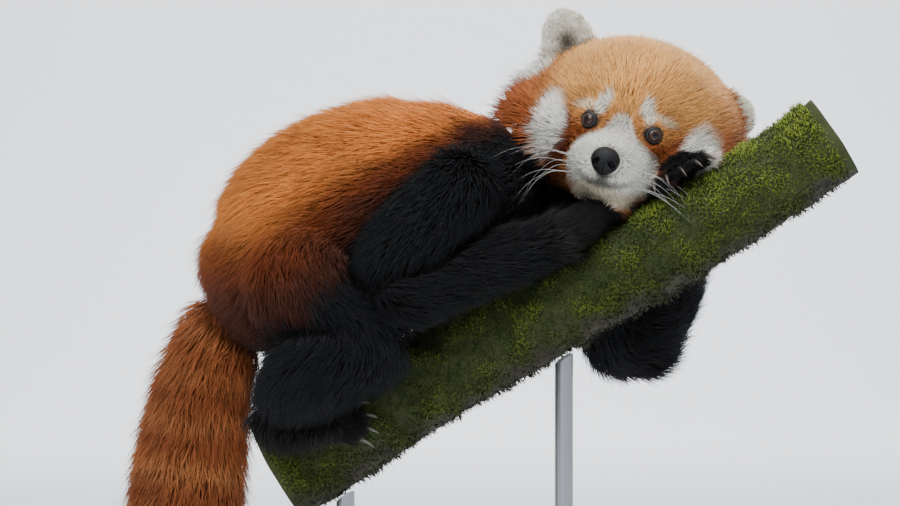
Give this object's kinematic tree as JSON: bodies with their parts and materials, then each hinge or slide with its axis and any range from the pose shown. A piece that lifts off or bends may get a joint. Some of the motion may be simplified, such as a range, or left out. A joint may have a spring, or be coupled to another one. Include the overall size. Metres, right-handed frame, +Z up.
{
  "type": "red panda",
  "caption": "Life-size still model of a red panda lying on a sloping cut branch, on a flat base with rods.",
  "frame": {"origin": "middle of the base plate's underside, where the model stands", "axes": "+Z up; +X runs up the branch from the tail to the head; -Y is the side that the face looks to"},
  "size_m": [0.4974, 0.2418, 0.6529],
  "materials": {
    "black_coat": "matte",
    "claw": "satin",
    "eye": "gloss",
    "nose": "satin",
    "pale_coat": "matte",
    "perch": "matte",
    "red_coat": "matte",
    "stand_base": "satin",
    "stand_rod": "satin"
  },
  "bodies": {
    "root": {"ear_left": "pale_coat", "ear_right": "pale_coat", "eye_left": "eye", "eye_right": "eye", "foreleg_left_lower": "black_coat", "foreleg_left_upper": "black_coat", "foreleg_right_lower": "black_coat", "foreleg_right_upper": "black_coat", "forepaw_left": "black_coat", "forepaw_left_claw_1": "claw", "forepaw_left_claw_2": "claw", "forepaw_left_claw_3": "claw", "forepaw_left_claw_4": "claw", "forepaw_left_claw_5": "claw", "forepaw_right": "black_coat", "forepaw_right_claw_1": "claw", "forepaw_right_claw_2": "claw", "forepaw_right_claw_3": "claw", "forepaw_right_claw_4": "claw", "forepaw_right_claw_5": "claw", "head": "red_coat", "hindleg_left_shank": "black_coat", "hindleg_left_thigh": "red_coat", "hindleg_right_shank": "black_coat", "hindleg_right_thigh": "red_coat", "hindpaw_left": "black_coat", "hindpaw_left_claw_1": "claw", "hindpaw_left_claw_2": "claw", "hindpaw_left_claw_3": "claw", "hindpaw_left_claw_4": "claw", "hindpaw_left_claw_5": "claw", "hindpaw_right": "black_coat", "hindpaw_right_claw_1": "claw", "hindpaw_right_claw_2": "claw", "hindpaw_right_claw_3": "claw", "hindpaw_right_claw_4": "claw", "hindpaw_right_claw_5": "claw", "neck": "red_coat", "nose": "nose", "perch_branch": "perch", "stand_base": "stand_base", "stand_rod_1": "stand_rod", "stand_rod_2": "stand_rod", "tail_lower": "red_coat", "tail_middle": "red_coat", "tail_upper": "red_coat", "torso": "red_coat"}
  },
  "joints": []
}
